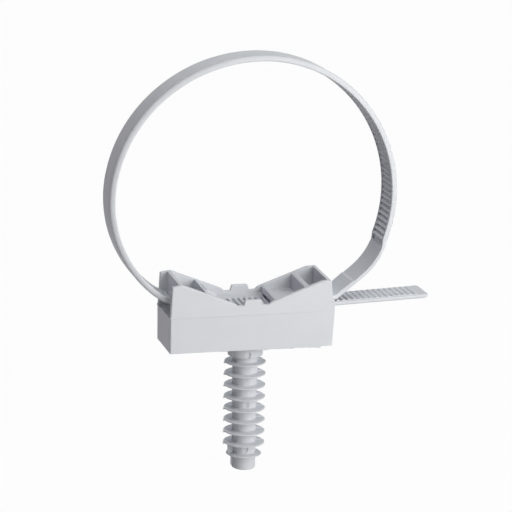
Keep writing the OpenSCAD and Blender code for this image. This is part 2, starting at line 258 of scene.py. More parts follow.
def nylon():
    paint = bpy.data.materials.new("light grey nylon")
    paint.use_nodes = True
    tree = paint.node_tree
    shader = tree.nodes["Principled BSDF"]
    place = node(tree, "ShaderNodeTexCoord").outputs["Object"]
    cloud = spread(tree, noise(tree, place, CLOUD_SCALE, detail=3.0), 0.35, 0.7)
    streak = noise(tree, place, STREAK_SCALE)
    grain = noise(tree, place, GRAIN_SCALE)
    scuff = spread(tree, noise(tree, place, SCUFF_SCALE, detail=4.0, roughness=0.7), 0.66, 0.74)
    colour = mixed(tree, math_node(tree, "MULTIPLY", cloud, 0.5), NYLON, NYLON_CLOUD)
    tree.links.new(colour, shader.inputs["Base Color"])
    satin = spread(tree, streak, 0.3, 0.7, to_low=0.5, to_high=0.6)
    rough = math_node(tree, "ADD", satin, math_node(tree, "MULTIPLY", scuff, 0.1))
    tree.links.new(rough, shader.inputs["Roughness"])
    fine = bump(tree, grain, strength=0.03, depth=0.02)
    skin = bump(tree, streak, strength=0.04, depth=0.05, Normal=fine)
    tree.links.new(skin, shader.inputs["Normal"])
    shader.inputs["IOR"].default_value = 1.53
    shader.inputs["Specular IOR Level"].default_value = 0.24
    return paint


NYLON_PAINT = nylon()
print("material:", NYLON_PAINT.name, "nodes:", len(NYLON_PAINT.node_tree.nodes))

# %% [markdown]
# ## Meshes
# Everything is worked out in millimetres and turned into metres once, at the end. A bmesh is
# used for small changes to a mesh. What a modifier makes is turned into a plain mesh at once,
# so that each piece stays a simple thing.

# %% Helpers for meshes
WELD = 0.0005


def mesh_object(name, points, edges=(), faces=()):
    mesh = bpy.data.meshes.new(name)
    mesh.from_pydata([tuple(p) for p in points], list(edges), list(faces))
    made = bpy.data.objects.new(name, mesh)
    scene.collection.objects.link(made)
    return made


def edit(piece, *steps):
    """Run steps that change a bmesh on the piece's mesh."""
    bm = bmesh.new()
    bm.from_mesh(piece.data)
    for step in steps:
        step(bm)
    bm.to_mesh(piece.data)
    bm.free()
    return piece


def weld(bm):
    bmesh.ops.remove_doubles(bm, verts=bm.verts, dist=WELD)


def face_outward(bm):
    bmesh.ops.recalc_face_normals(bm, faces=bm.faces)


def settle(piece):
    """Turn what the modifiers make into the piece's own plain mesh."""
    graph = bpy.context.evaluated_depsgraph_get()
    plain = bpy.data.meshes.new_from_object(piece.evaluated_get(graph))
    piece.modifiers.clear()
    piece.data = plain
    return piece


print("meshes are welded at, mm:", WELD)

# %% [markdown]
# ## Solids from outlines
# A moulding can be drawn like a drawing office does it: an outline pushed along one axis,
# and pockets taken away. The Manifold solver joins and cuts closed meshes quickly and keeps
# them closed. Edges are rounded by a Bevel modifier that reads a weight from each edge.

# %% Helpers for solids
FLAT_ANGLE, EDGE_ANGLE, BEVEL_STEPS = 0.01, 0.15, 3


def combine(piece, others, operation):
    """Join other solids to the piece, or cut them out of it."""
    for other in others:
        modifier = piece.modifiers.new(other.name, "BOOLEAN")
        modifier.operation = operation
        modifier.solver = "MANIFOLD"
        modifier.object = other
    settle(piece)
    for other in others:
        bpy.data.objects.remove(other)
    return piece


def prism(name, outline, start, end, place, far=None):
    """An outline at start and the same or another one at end, with sides between."""
    n = len(outline)
    points = [place(a, b, start) for a, b in outline]
    points += [place(a, b, end) for a, b in far or outline]
    faces = [tuple(range(n)), tuple(range(n, 2 * n))]
    faces += [(i, (i + 1) % n, n + (i + 1) % n, n + i) for i in range(n)]
    return edit(mesh_object(name, points, faces=faces), face_outward)


def along_y(a, b, t):
    return (a, t, b)


def along_x(a, b, t):
    return (t, a, b)


def pocket(x0, x1, z0, z1, half):
    return prism("pocket", [(x0, z0), (x1, z0), (x1, z1), (x0, z1)], -half, half, along_y)


def soften(piece, radius_of, widest):
    """Round the edges, each with the radius that radius_of gives it."""

    def weigh(bm):
        weld(bm)
        bmesh.ops.dissolve_limit(bm, angle_limit=FLAT_ANGLE, verts=bm.verts, edges=bm.edges)
        layers = bm.edges.layers.float
        weight = layers.get("bevel_weight_edge") or layers.new("bevel_weight_edge")
        for e in bm.edges:
            if len(e.link_faces) == 2 and e.calc_face_angle() > EDGE_ANGLE:
                e[weight] = radius_of(e) / widest

    edit(piece, weigh)
    bevel = piece.modifiers.new("soft edges", "BEVEL")
    bevel.limit_method = "WEIGHT"
    bevel.width = widest
    bevel.segments = BEVEL_STEPS
    bevel.use_clamp_overlap = False
    return settle(piece)


print("edges count as edges from, degrees:", round(math.degrees(EDGE_ANGLE), 1))

# %% [markdown]
# ## Sizes of the base
# The base is a block with a V across its top in which the conduit lies. Its floor carries
# the strap's channel, and thin walls and ribs stand on it, so that the plastic cools
# evenly. The places of the cells and the heights follow from the sizes, one from the other.

# %% Sizes of the base
BASE_L, BASE_D, FLOOR_H = 40.2, 14.6, 8.5
WALL_T, RIB_T, END_LEAN, FOOT_LEAN = 1.15, 1.1, 0.45, 0.45
RIGHT_TIP_RISE, LEFT_TIP_DROP = 0.03, 0.36
LEFT_HORN_H, RIGHT_HORN_H, LEFT_PEAK_X, RIGHT_TOP_L, BACK_RISE = 8.05, 7.55, 2.9, 2.2, 0.4
NOTCH_H, NOTCH_X, NOTCH_STEP, TAB_W, TAB_H, TAB_LEAN = 2.4, 3.85, 0.55, 4.6, 1.35, 0.35
ENTRY_L, LEFT_CELL_L, MIDDLE_CELL_L, RIGHT_CELL_L = 2.2, 5.5, 6.3, 4.4
END_WALL_T, FLOOR_T, SHOULDER_W, RIB_GAP = 1.35, 0.75, 0.5, 0.5
STRAP_W, RAIL_T, TOOTH_T, STRAP_GAP, SIDE_GAP, ROOF_GAP = 8.8, 1.3, 1.35, 0.15, 0.3, 0.16
TAIL_LIFT, LIFT_X, LAND_X = math.radians(2.1), 0.5, 5.7
SINK = 0.5

LEFT_X, RIGHT_X = -BASE_L / 2, BASE_L / 2
FIRST_RIB_X = LEFT_X + ENTRY_L
LEFT_CELL_X = FIRST_RIB_X + RIB_T
SECOND_RIB_X = LEFT_CELL_X + LEFT_CELL_L
MIDDLE_X = SECOND_RIB_X + RIB_T
END_FACE_X = RIGHT_X - SHOULDER_W
RIGHT_CELL_X1 = END_FACE_X - END_WALL_T
RIGHT_CELL_X0 = RIGHT_CELL_X1 - RIGHT_CELL_L
MIDDLE_CELL_X1 = RIGHT_CELL_X0 - RIB_T
MIDDLE_CELL_X0 = MIDDLE_CELL_X1 - MIDDLE_CELL_L
WINDOW_X = MIDDLE_CELL_X0 - RIB_T
STRAP_Z = FLOOR_H + STRAP_GAP
LIFT_R = (RIGHT_X - LIFT_X) / math.sin(TAIL_LIFT)
EXIT_Z = STRAP_Z + LIFT_R * (1 - math.cos(TAIL_LIFT))
ROOT_Z = EXIT_Z + TOOTH_T / math.cos(TAIL_LIFT) + ROOF_GAP
CELL_FLOOR_Z = ROOT_Z + FLOOR_T
CHANNEL_Y = STRAP_W / 2 + SIDE_GAP
INSIDE_Y = BASE_D / 2 - WALL_T
LEDGE_Z = STRAP_Z + RAIL_T - STRAP_GAP
TOP_Z = FLOOR_H + LEFT_HORN_H + SINK
print("strap's root leaves the base at height", round(ROOT_Z, 2))

# %% [markdown]
# ## The strap's way round
# The strap follows a chain of arcs, like a bent spring: out of the base, up the right side,
# over the top, down the left side and back through the channel. Each arc starts where the
# one before ends and turns the heading on, so a point and a heading at any distance along the
# strap follow by adding the turns up.

# %% The strap's path
LOOP_R = 33.8
LOOP = [(0.485, -25), (1, 90), (1.1, 134), (1.006, 169), (0.86, 230), (0.414, 247), (1.097, 270)]
ROOT_OUT, ROOT_BEND_R, TAIL_L = 0.3, 2.5, 24.5
ROOT_IN = SHOULDER_W + SINK


def loop_centres():
    """Centres of the arcs, worked out backwards from the last one, which lands on the floor."""
    centre = np.array([-LAND_X, STRAP_Z + LOOP[-1][0] * LOOP_R])
    centres = [centre]
    for (share, angle), (next_share, _) in zip(LOOP[-2::-1], LOOP[:0:-1]):
        a = math.radians(angle)
        centre = centre + (next_share - share) * LOOP_R * np.array([math.cos(a), math.sin(a)])
        centres.insert(0, centre)
    return centres


def stretches():
    """The path as (turn, radius, length) pieces; a straight one has radius 0."""
    first_r = LOOP[0][0] * LOOP_R
    way = loop_centres()[0] - np.array([RIGHT_X + ROOT_OUT, ROOT_Z + ROOT_BEND_R])
    reach = float(np.hypot(*way))
    turn = math.atan2(way[1], way[0]) - math.asin((first_r - ROOT_BEND_R) / reach)
    run = math.sqrt(reach**2 - (first_r - ROOT_BEND_R) ** 2)
    chain = [(0, 0, ROOT_IN + ROOT_OUT), (turn, ROOT_BEND_R, ROOT_BEND_R * turn), (0, 0, run)]
    normal = turn - math.pi / 2
    for share, angle in LOOP:
        swing = math.radians(angle) - normal
        chain.append((swing, share * LOOP_R, share * LOOP_R * swing))
        normal = math.radians(angle)
    chain += [(0, 0, LAND_X + LIFT_X), (TAIL_LIFT, LIFT_R, LIFT_R * TAIL_LIFT), (0, 0, TAIL_L)]
    return chain


def advance(pose, radius, d):
    x, z, heading = pose
    if radius == 0:
        return x + d * math.cos(heading), z + d * math.sin(heading), heading
    a = heading + d / radius
    x += radius * (math.sin(a) - math.sin(heading))
    z += radius * (math.cos(heading) - math.cos(a))
    return x, z, a


CHAIN = stretches()
POSES = [(RIGHT_X - ROOT_IN, ROOT_Z, 0.0)]
STARTS = [-ROOT_IN]
for turn, radius, length in CHAIN:
    POSES.append(advance(POSES[-1], radius, length))
    STARTS.append(STARTS[-1] + length)
STRAP_END = STARTS[-1]
# The loop's last arc ends before the flat run, the lift and the tail.
LAND_S = STARTS[-4]


def strap_pose(s):
    """Point and heading of the strap's outer face at distance s from the base."""
    k = max(i for i in range(len(CHAIN)) if i == 0 or STARTS[i] <= s)
    return advance(POSES[k], CHAIN[k][1], s - STARTS[k])


def strap_point(s, u):
    """The point that lies u inside the outer face."""
    x, z, heading = strap_pose(s)
    return x - u * math.sin(heading), z + u * math.cos(heading)


print("strap length, mm:", round(STRAP_END, 1), "end at x:", round(POSES[-1][0], 2))

# %% [markdown]
# ## Saddle base
# The outline is pushed through the depth, the cells are cut out, and then each outer edge gets
# its own small radius. Where walls are thin the radius is smaller, because two roundings that
# overlap would fold the mesh over itself.

# %% Saddle base
CORNER_R, RIGHT_CORNER_R, BACK_CORNER_R = 0.3, 0.22, 0.18
RIM_R, RIGHT_RIM_R, LEFT_RIM_R, UPRIGHT_R, FOOT_R = 0.28, 0.18, 0.15, 0.12, 0.07
RIM_X, NEAR_END, NEAR_FACE = 13, 1, 0.1


def saddle_outline():
    left_top, right_top = FLOOR_H + LEFT_HORN_H, FLOOR_H + RIGHT_HORN_H
    notch_z = FLOOR_H + NOTCH_H
    slope_x, slope_z, tab_z = NOTCH_X + NOTCH_STEP, notch_z + NOTCH_STEP, notch_z + TAB_H
    horn_x = END_FACE_X - END_LEAN
    tab = TAB_W / 2
    return [
        (LEFT_X, 0), (RIGHT_X - FOOT_LEAN, 0), (RIGHT_X, FLOOR_H), (RIGHT_X, CELL_FLOOR_Z),
        (END_FACE_X, CELL_FLOOR_Z), (horn_x, right_top + RIGHT_TIP_RISE),
        (horn_x - RIGHT_TOP_L, right_top), (slope_x, slope_z), (NOTCH_X, notch_z),
        (tab, notch_z), (tab - TAB_LEAN, tab_z), (TAB_LEAN - tab, tab_z), (-tab, notch_z),
        (-NOTCH_X, notch_z), (-slope_x, slope_z), (LEFT_X + LEFT_PEAK_X, left_top),
        (LEFT_X + END_LEAN, left_top - LEFT_TIP_DROP), (LEFT_X, FLOOR_H),
    ]


def rib_height(x):
    """Underside of a left rib: clear of the teeth on the strap's last arc."""
    centre, r = loop_centres()[-1], LOOP[-1][0] * LOOP_R - TOOTH_T
    return centre[1] - math.sqrt(r**2 - (x - centre[0]) ** 2) + RIB_GAP


def middle_pocket():
    ledge_top = LEDGE_Z + (INSIDE_Y - CHANNEL_Y) / 2
    side = [(CHANNEL_Y, FLOOR_H), (CHANNEL_Y, LEDGE_Z), (INSIDE_Y, ledge_top), (INSIDE_Y, TOP_Z)]
    outline = side + [(-y, z) for y, z in reversed(side)]
    return prism("pocket", outline, MIDDLE_X, WINDOW_X, along_x)


def base_edge_radius(e):
    """The upright corners come first, then the foot, and last the rims of the walls."""
    a, b = e.verts[0].co, e.verts[1].co
    middle = (a + b) / 2
    upright = abs(a.z - b.z) > 3 * abs(a.x - b.x) and abs(a.y - b.y) < 0.01
    at_end = abs(middle.x) > END_FACE_X - NEAR_END
    at_face = abs(middle.y) > BASE_D / 2 - NEAR_FACE
    if upright and at_end and at_face:
        if middle.x > 0:
            return RIGHT_CORNER_R
        return CORNER_R if middle.y < 0 else BACK_CORNER_R
    if middle.z < NEAR_FACE:
        return FOOT_R
    if not e.is_convex:
        return 0
    if upright:
        return UPRIGHT_R
    if abs(middle.x) < RIM_X:
        return RIM_R
    return RIGHT_RIM_R if middle.x > 0 else LEFT_RIM_R


front = saddle_outline()
foot, top, left_end = front[:5], front[5:-1], front[-1:]
rear = foot + [(x, z + BACK_RISE) for x, z in top] + left_end
base = prism("saddle_base", front, -BASE_D / 2, BASE_D / 2, along_y, far=rear)
combine(base, [
    pocket(LEFT_X - SINK, FIRST_RIB_X, FLOOR_H, TOP_Z, INSIDE_Y),
    pocket(FIRST_RIB_X - SINK, LEFT_CELL_X + SINK, FLOOR_H, rib_height(FIRST_RIB_X), INSIDE_Y),
    pocket(LEFT_CELL_X, SECOND_RIB_X, FLOOR_H, TOP_Z, INSIDE_Y),
    pocket(SECOND_RIB_X - SINK, MIDDLE_X + SINK, FLOOR_H, rib_height(SECOND_RIB_X), CHANNEL_Y),
    middle_pocket(),
    pocket(WINDOW_X - SINK, RIGHT_X + SINK, FLOOR_H, ROOT_Z, CHANNEL_Y),
    pocket(MIDDLE_CELL_X0, MIDDLE_CELL_X1, CELL_FLOOR_Z, TOP_Z, INSIDE_Y),
    pocket(RIGHT_CELL_X0, RIGHT_CELL_X1, CELL_FLOOR_Z, TOP_Z, INSIDE_Y),
], "DIFFERENCE")
soften(base, base_edge_radius, CORNER_R)
print("base faces:", len(base.data.polygons))

# %% [markdown]
# ## Marks of the mould on the base
# Where the two halves of the mould meet, a fine line runs along the front and back and steps
# up near the right end. From there both halves draw in a little, so that they come out
# of the mould. Some plastic creeps out at the left corners and along the lower edge. Such marks
# are small, but they tell a moulding from a drawing. The line is cut as a shallow groove with
# one sloped side, the draft moves the outer points, and the burr is a thin ragged strip.

# %% Parting line, draft and burrs
PARTING = [
    (LEFT_X - 1, 8.58), (9, 8.6), (11, 8.62), (17.3, 8.64), (17.62, 8.85), (18.0, 10.9), (RIGHT_X + 1, 11.1),
]
GROOVE_W = [0.06, 0.06, 0.12, 0.12, 0.1, 0.08, 0.06]
GROOVE_SIDE = [0, 0, 0, 0, 0.3, 0.3, 0]
GROOVE_DEPTH, GROOVE_SLIT, DRAFT_LOW, DRAFT_HIGH, SKIN_T = 0.11, 0.01, 0.015, 0.016, 0.4
BURR_LINE = [
    (-8.2, 0.0), (-7, 0.13), (-5, 0.05), (-2, 0.06), (0.5, 0.08), (2, 0.28), (4, 0.3), (4.6, 0.12),
    (8, 0.14), (9, 0.22), (10.5, 0.24), (11, 0.16), (13, 0.15), (13.6, 0.27), (16, 0.36), (17.1, 0.3),
    (17.3, 0.0),
]
BURR_STEP, BURR_T, BURR_ROOT, BURR_INSET, BURR_LEAST, BURR_SPREAD = 0.5, 0.16, 0.25, 0.05, 0.25, 1.2
NUB_OUT, NUB_IN, NUB_SIDE, NUB_HALF = 0.13, 0.4, 0.45, 0.25
NUB_HEIGHTS = (8.2, 8.4, 8.7, 9.2)


def parting_groove(side):
    """A slit inside the wall that widens outward; at the face it has the widths in GROOVE_W."""
    upper = [(x, z + GROOVE_SLIT) for x, z in PARTING]
    lower = [(x + s, z - 2 * w) for (x, z), w, s in zip(PARTING, GROOVE_W, GROOVE_SIDE)]
    bottom, mouth = upper + PARTING[::-1], upper + lower[::-1]
    face, depth = side * BASE_D / 2, side * GROOVE_DEPTH
    return prism("groove", bottom, face - depth, face + depth, along_y, far=mouth)


def draw_in(bm):
    """Both mould halves taper away from the parting line; only the outer skin moves."""
    xs, zs = zip(*PARTING)
    for v in bm.verts:
        if abs(v.co.y) < BASE_D / 2 - SKIN_T:
            continue
        line = float(np.interp(v.co.x, xs, zs))
        above = v.co.z - PARTING[0][1]
        shift = DRAFT_LOW * max(-above, 0) if v.co.z <= line else DRAFT_HIGH * max(above, 0)
        v.co.y -= math.copysign(shift, v.co.y)


def lower_burr(side, seed):
    draw = random.Random(seed)
    xs = np.arange(BURR_LINE[0][0], BURR_LINE[-1][0], BURR_STEP)
    drops = [-np.interp(x, *zip(*BURR_LINE)) * (BURR_LEAST + BURR_SPREAD * draw.random()) for x in xs]
    outline = [(float(x), float(z)) for x, z in zip(xs, drops)]
    outline += [(float(xs[-1]), BURR_ROOT), (float(xs[0]), BURR_ROOT)]
    outer = side * (BASE_D / 2 - BURR_INSET - DRAFT_LOW * FLOOR_H)
    return prism("burr", outline, outer, outer - side * BURR_T, along_y)


def corner_nub(side):
    root, tip = LEFT_X + NUB_IN, LEFT_X - NUB_OUT
    outline = list(zip((root, tip, tip, root), NUB_HEIGHTS))
    y = side * (BASE_D / 2 - NUB_SIDE)
    return prism("nub", outline, y - NUB_HALF, y + NUB_HALF, along_y)


combine(base, [parting_groove(-1), parting_groove(1)], "DIFFERENCE")
edit(base, draw_in)
combine(base, [lower_burr(-1, 3), lower_burr(1, 8), corner_nub(-1), corner_nub(1)], "UNION")
print("base faces with mould marks:", len(base.data.polygons))

# %% [markdown]
# ## Pawl
# A short tongue on the second rib leans over the channel. Its tip stands against the steep
# side of a tooth, and so the strap can be pulled tighter but not back.

# %% Pawl
PAWL_W, PAWL_REACH, PAWL_GAP, PAWL_ROOT_Z, PAWL_END_Z = 6.0, 2.4, 0.12, 14.25, 13.2
PAWL_NOSE_H, PAWL_CUT, PAWL_UNDER, PAWL_HEEL = 0.8, 0.4, 0.25, 1.3
PAWL_TIP_R, PAWL_TOP_R, PAWL_TIP_Z = 0.07, 0.3, 11.5
GROOVE_T, TOOTH_PITCH, CREST_L, PLAIN_L, TEETH_S = 0.8, 1.4, 0.25, 18.3, 19.9


def pawl():
    tip_s = LAND_S + LAND_X + MIDDLE_X + PAWL_REACH
    tooth_s = TEETH_S + TOOTH_PITCH * round((tip_s - TEETH_S) / TOOTH_PITCH)
    tip_s = tooth_s - PAWL_GAP
    low = strap_point(tip_s, GROOVE_T + PAWL_GAP)
    high = strap_point(tip_s, TOOTH_T + 2 * PAWL_GAP)
    heel = strap_point(tooth_s - TOOTH_PITCH + PAWL_HEEL * CREST_L, TOOTH_T + PAWL_HEEL * PAWL_GAP)
    back_x = MIDDLE_X - SINK
    outline = [
        (back_x, rib_height(SECOND_RIB_X) + PAWL_UNDER), heel, low, high, (high[0], PAWL_END_Z - PAWL_NOSE_H),
        (high[0] - PAWL_CUT, PAWL_END_Z), (MIDDLE_X, PAWL_ROOT_Z), (back_x, PAWL_ROOT_Z),
    ]
    return prism("pawl", outline, -PAWL_W / 2, PAWL_W / 2, along_y)


def pawl_edge_radius(e):
    middle_z = (e.verts[0].co.z + e.verts[1].co.z) / 2
    return PAWL_TIP_R if middle_z < PAWL_TIP_Z else PAWL_TOP_R


tongue = soften(pawl(), pawl_edge_radius, PAWL_TOP_R)
print("pawl reaches x:", round(max(v.co.x for v in tongue.data.vertices), 2))

# %% [markdown]
# ## Toothed strap
# The strap is a section carried along the path: a web between two round-edged side rails,
# with saw teeth in the channel between them. It could be a curve with a bevel profile, but
# here the section changes on the way: plain and thick at the root, thin to the first
# tooth, railed and toothed to the tail. So Geometry Nodes make the surface with Curve to Mesh,
# and then put each point in its place from values that ride on the path and on the section.
# The teeth come from a saw function of the distance along the strap.

# %% Strap stations
TAIL_PLAIN_L, TAIL_R, TAIL_RISE_L, TAIL_RISE = 1.0, 0.8, 2.0, 0.6
CREASE_L, ROOT_T, WEB_T, PLAIN_OUT = 7.0, 1.05, 0.84, 0.2
RAIL_LOOP_T, CREST_LOOP_T, GROOVE_LOOP_T, POCKET_T = 1.42, 1.42, 0.62, 0.62
RAIL_EXIT_T, CREST_EXIT_T, GROOVE_EXIT_T = 0.95, 1.24, 0.9
RAIL_TAIL_T, CREST_TAIL_T, GROOVE_TAIL_T, PLATE_T = 0.9, 1.12, 0.98, 0.98
RAIL_W, RAIL_TAIL_W = 0.62, 0.6
TOOTH_COUNT = math.floor((STRAP_END - TAIL_PLAIN_L - TEETH_S) / TOOTH_PITCH)
TEETH_END = TEETH_S + TOOTH_COUNT * TOOTH_PITCH
STEEP_SHARE, CREST_SHARE = 0.05, 0.2
PHASES = (0, STEEP_SHARE, CREST_SHARE, 0.48, 0.75)
PLAIN_STEP, RAMP_STEPS, LEAST_STEP = 0.5, 8, 0.02
CREASE_HALF, POCKET_EDGE = 0.2, 0.06


def strap_stations():
    keys = list(np.arange(-ROOT_IN, PLAIN_L, PLAIN_STEP))
    keys += [CREASE_L - CREASE_HALF, CREASE_L + CREASE_HALF]
    keys += list(np.linspace(PLAIN_L, TEETH_S, RAMP_STEPS + 1)[:-1])
    keys += [PLAIN_L - POCKET_EDGE, PLAIN_L + POCKET_EDGE]
    keys += [TEETH_S + (i + p) * TOOTH_PITCH for i in range(TOOTH_COUNT) for p in PHASES]
    keys += list(np.arange(TEETH_END, STRAP_END - TAIL_R, PLAIN_STEP))
    keys += [STRAP_END - TAIL_R * (1 - math.sin(math.radians(a))) for a in range(0, 91, 15)]
    keys += [STRAP_END - TAIL_RISE_L * (1 - math.sin(math.radians(a))) for a in range(0, 75, 15)]
    keys = sorted(keys)
    return [k for i, k in enumerate(keys) if i == 0 or k - keys[i - 1] > LEAST_STEP]


STATIONS = np.array(strap_stations())
print("stations:", len(STATIONS), "teeth:", TOOTH_COUNT)

# %% [markdown]
# ## Measures along the strap
# Each measure of the section is given at a few distances and runs straight between them: the
# heights of the rails, the web and the crests, the rails' width, the rounding of the outer
# edges and of the rails' tops, and half the width. The tail's end is lifted along an arc.

# %% Measures along the strap
EASE_L, END_L, END_DROP, TAIL_BEND = 6, 0.3, 0.12, 0.96


def along_strap(*pairs):
    """A value at each station, straight between the given (distance, value) pairs."""
    return np.interp(STATIONS, [p[0] for p in pairs], [p[1] for p in pairs])


FLAT_S = LAND_S + LAND_X
EXIT_S = FLAT_S + RIGHT_X
THIN_S0, THIN_S1, FADE_S = FLAT_S + WINDOW_X + 0.3, FLAT_S + MIDDLE_CELL_X1, EXIT_S + EASE_L
crease = [(CREASE_L - CREASE_HALF, ROOT_T), (CREASE_L + CREASE_HALF, WEB_T)]
plate_end = [(STRAP_END - END_L, PLATE_T), (STRAP_END, PLATE_T - END_DROP)]
rail = along_strap(
    *crease, (PLAIN_L, WEB_T), (TEETH_S + 0.3, RAIL_LOOP_T), (THIN_S0, RAIL_LOOP_T), (THIN_S1, RAIL_EXIT_T),
    (EXIT_S, RAIL_EXIT_T), (FADE_S, RAIL_TAIL_T), (TEETH_END, RAIL_TAIL_T), (TEETH_END + 0.5, PLATE_T),
    *plate_end,
)
web = along_strap(
    *crease, (PLAIN_L - POCKET_EDGE, WEB_T), (PLAIN_L + POCKET_EDGE, POCKET_T), (TEETH_S, POCKET_T),
    (LAND_S - EASE_L, GROOVE_LOOP_T), (LAND_S, GROOVE_T), (THIN_S0, GROOVE_T), (THIN_S1, GROOVE_EXIT_T),
    (EXIT_S, GROOVE_EXIT_T), (FADE_S, GROOVE_TAIL_T), (TEETH_END, GROOVE_TAIL_T), (TEETH_END + 0.3, PLATE_T),
    *plate_end,
)
crest = along_strap(
    (THIN_S0, CREST_LOOP_T), (THIN_S1, CREST_EXIT_T), (EXIT_S, CREST_EXIT_T), (FADE_S, CREST_TAIL_T),
)
rail_w = along_strap(
    (PLAIN_L - POCKET_EDGE, 2.4), (PLAIN_L + 0.2, 1.5), (PLAIN_L + 0.5, 1.05), (PLAIN_L + 0.8, RAIL_W),
    (THIN_S0, RAIL_W), (THIN_S1, RAIL_TAIL_W),
)
edge = along_strap((PLAIN_L, 0.35), (TEETH_S, 1.1), (LAND_S, 1.1), (THIN_S0, 0.6), (STRAP_END, 0.45))
crown = along_strap((PLAIN_L, 0.3), (TEETH_S, 1), (THIN_S0, 1), (THIN_S1, 0.5))
past = np.clip(STATIONS - (STRAP_END - TAIL_R), 0, TAIL_R)
half = STRAP_W / 2 - TAIL_R + np.sqrt(TAIL_R**2 - past**2)
half = half + along_strap((CREASE_L - 3, 0), (CREASE_L, PLAIN_OUT), (PLAIN_L - 1, PLAIN_OUT), (TEETH_S, 0))
rising = np.clip((STATIONS - (STRAP_END - TAIL_RISE_L)) / TAIL_RISE_L, 0, 1)
lift = TAIL_RISE * (1 - np.sqrt(1 - TAIL_BEND * rising**2))
print("thickness of the rails, mm:", round(float(rail.min()), 2), "to", round(float(rail.max()), 2))

# %% [markdown]
# ## Path and section with named values
# A mesh can carry named values on its points. The path's points carry the measures, and the
# section's points say what share of each measure they take. Curve to Mesh hands both on to
# the surface, where they can be multiplied.

# %% Strap path and section
CROWN_H, CROWN_W, DRAFT, LIP, EDGE_SQUASH = 0.18, 0.36, 0.04, 0.07, 0.6


def give(piece, **values):
    """Put named values on the points of a mesh."""
    for name, numbers in values.items():
        numbers = np.asarray(numbers, np.float32)
        kind = "FLOAT_VECTOR" if numbers.ndim == 2 else "FLOAT"
        layer = piece.data.attributes.new(name, kind, "POINT")
        layer.data.foreach_set("vector" if numbers.ndim == 2 else "value", numbers.ravel())
    return piece


def chain_edges(n, closed):
    return [(i, (i + 1) % n) for i in range(n if closed else n - 1)]


def strap_path():
    poses = [strap_pose(s) for s in STATIONS]
    points = np.array([(x, 0, z) for x, z, _ in poses])
    inward = np.array([(-math.sin(a), 0, math.cos(a)) for _, _, a in poses])
    path = mesh_object("toothed_strap", points, chain_edges(len(points), False))
    return give(
        path, way=STATIONS, outer=points, inward=inward, rail=rail, rail_w=rail_w, web=web, crest=crest,
        edge=edge, crown=crown, half=half, lift=lift,
    )


def section_side():
    """Half of the section, from the outer face's middle to the web's middle. Each point has
    its shares of (edge, rail, web, lift), then its own inward shift, and then, across the
    strap, its shares of the half width, the edge and the rail's width, and its own shift."""
    rows = [(0, 0, 0, 1, 0, 0, 0, 0, 0)]
    for a in range(0, 91, 15):
        c, s = math.cos(math.radians(a)), math.sin(math.radians(a))
        rows.append((1 - c, 0, 0, 1 - a / 90, 0, 1, EDGE_SQUASH * (s - 1), 0, 0))
    for a in range(0, 91, 30):
        c, s = math.cos(math.radians(a)), math.sin(math.radians(a))
        rows.append((0, 1, 0, 0, CROWN_H * (s - 1), 1, 0, 0, CROWN_W * (c - 1)))
    rows.append((0, 1, 0, 0, 0, 1, 0, -1, DRAFT + LIP))
    rows.append((0, 1 - LIP, LIP, 0, 0, 1, 0, -1, DRAFT))
    rows.append((0, 0, 1, 0, 0, 1, 0, -1, 0))
    rows.append((0, 0, 1, 0, 0, 0, 0, 0, 0))
    return rows


def strap_section():
    side = section_side()
    mirrored = [row[:5] + tuple(-x for x in row[5:]) for row in side[-2:0:-1]]
    rows = np.array(side + mirrored, float)
    n = len(rows)
    ring = [(math.cos(2 * math.pi * i / n), math.sin(2 * math.pi * i / n), 0) for i in range(n)]
    section = mesh_object("strap section", ring, chain_edges(n, True))
    names = (
        "by_edge", "by_rail", "by_web", "by_lift", "in_own",
        "by_half", "by_edge_across", "by_rail_w", "across_own",
    )
    return give(section, **{name: rows[:, i] for i, name in enumerate(names)})


section = strap_section()
path = strap_path()
print("points of the section:", len(section.data.vertices), "of the path:", len(path.data.vertices))

# %% [markdown]
# ## Node trees
# A tree is built like any program: small functions make the nodes and link them. Its sizes
# are inputs of the modifier, so that one tree can serve several pieces.

# %% Helpers for node trees


def new_tree(name, sizes):
    """An empty modifier tree with named inputs; returns it and the sockets of its inputs."""
    tree = bpy.data.node_groups.new(name, "GeometryNodeTree")
    tree.is_modifier = True
    tree.interface.new_socket("Geometry", in_out="INPUT", socket_type="NodeSocketGeometry")
    for size, kind in sizes:
        tree.interface.new_socket(size, in_out="INPUT", socket_type="NodeSocket" + kind)
    tree.interface.new_socket("Geometry", in_out="OUTPUT", socket_type="NodeSocketGeometry")
    return tree, tree.nodes.new("NodeGroupInput").outputs


def grow(piece, tree, **sizes):
    """Run a tree on a piece with these sizes, and keep the plain mesh."""
    modifier = piece.modifiers.new(tree.name, "NODES")
    modifier.node_group = tree
    for item in tree.interface.items_tree:
        key = item.name.lower().replace(" ", "_")
        if item.in_out == "INPUT" and key in sizes:
            modifier[item.identifier] = sizes[key]
    return edit(settle(piece), weld, face_outward)


def value_of(tree, name, kind="FLOAT"):
    made = node(tree, "GeometryNodeInputNamedAttribute", {"Name": name}, data_type=kind)
    return made.outputs["Attribute"]


def vector_node(tree, operation, inputs):
    return node(tree, "ShaderNodeVectorMath", inputs, operation=operation).outputs[0]


def total(tree, *terms):
    """Sum of products of pairs of values."""
    result = None
    for a, b in terms:
        product = math_node(tree, "MULTIPLY", a, b)
        result = product if result is None else math_node(tree, "ADD", result, product)
    return result


def swept(tree, path, section_object, caps):
    section = node(tree, "GeometryNodeObjectInfo", {"Object": section_object})
    section_curve = node(tree, "GeometryNodeMeshToCurve", {"Mesh": section.outputs["Geometry"]})
    path_curve = node(tree, "GeometryNodeMeshToCurve", {"Mesh": path})
    inputs = {"Curve": path_curve.outputs[0], "Profile Curve": section_curve.outputs[0], "Fill Caps": caps}
    return node(tree, "GeometryNodeCurveToMesh", inputs).outputs[0]


